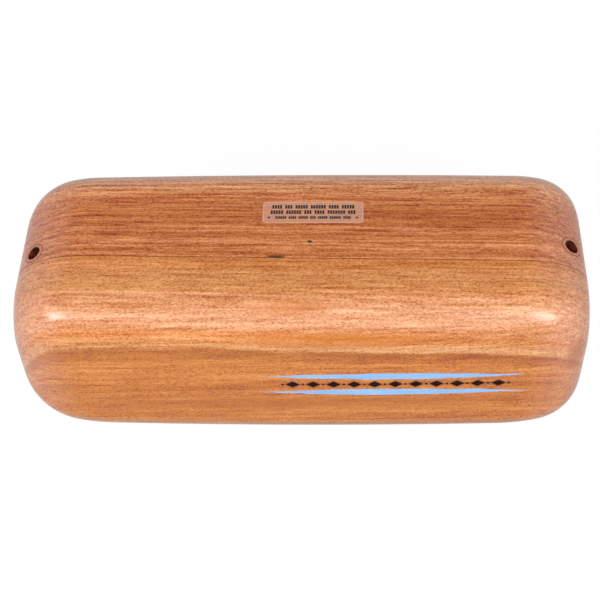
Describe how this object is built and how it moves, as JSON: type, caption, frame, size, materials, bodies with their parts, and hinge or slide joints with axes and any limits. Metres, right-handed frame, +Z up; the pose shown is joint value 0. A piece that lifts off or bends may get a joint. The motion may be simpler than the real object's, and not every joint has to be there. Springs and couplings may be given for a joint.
{
  "type": "wood block",
  "caption": "Hardwood wood block, rounded all over, with a deep resonance slot along the rear and a lined mounting port angled into each end.",
  "frame": {"origin": "on the floor under the centre of the bounding box, on the playing face that the block lies on", "axes": "+X along the block to the right of the decorated face; +Y towards the slotted rear; +Z up, out of the face that carries the label"},
  "size_m": [0.25, 0.095, 0.0901],
  "materials": {
    "golden_hardwood": "satin clear lacquer over straight-grained golden-brown hardwood",
    "reddish_hardwood": "satin clear lacquer over straight-grained reddish-brown hardwood",
    "liner_hardwood": "turned and sanded hardwood under the same lacquer",
    "clear_film": "clear adhesive film with dark printed marks"
  },
  "bodies": {
    "root": {"front_board": "golden_hardwood", "rear_board": "reddish_hardwood", "left_port_bushing": "liner_hardwood", "right_port_bushing": "liner_hardwood", "mounting_label": "clear_film"}
  },
  "joints": []
}
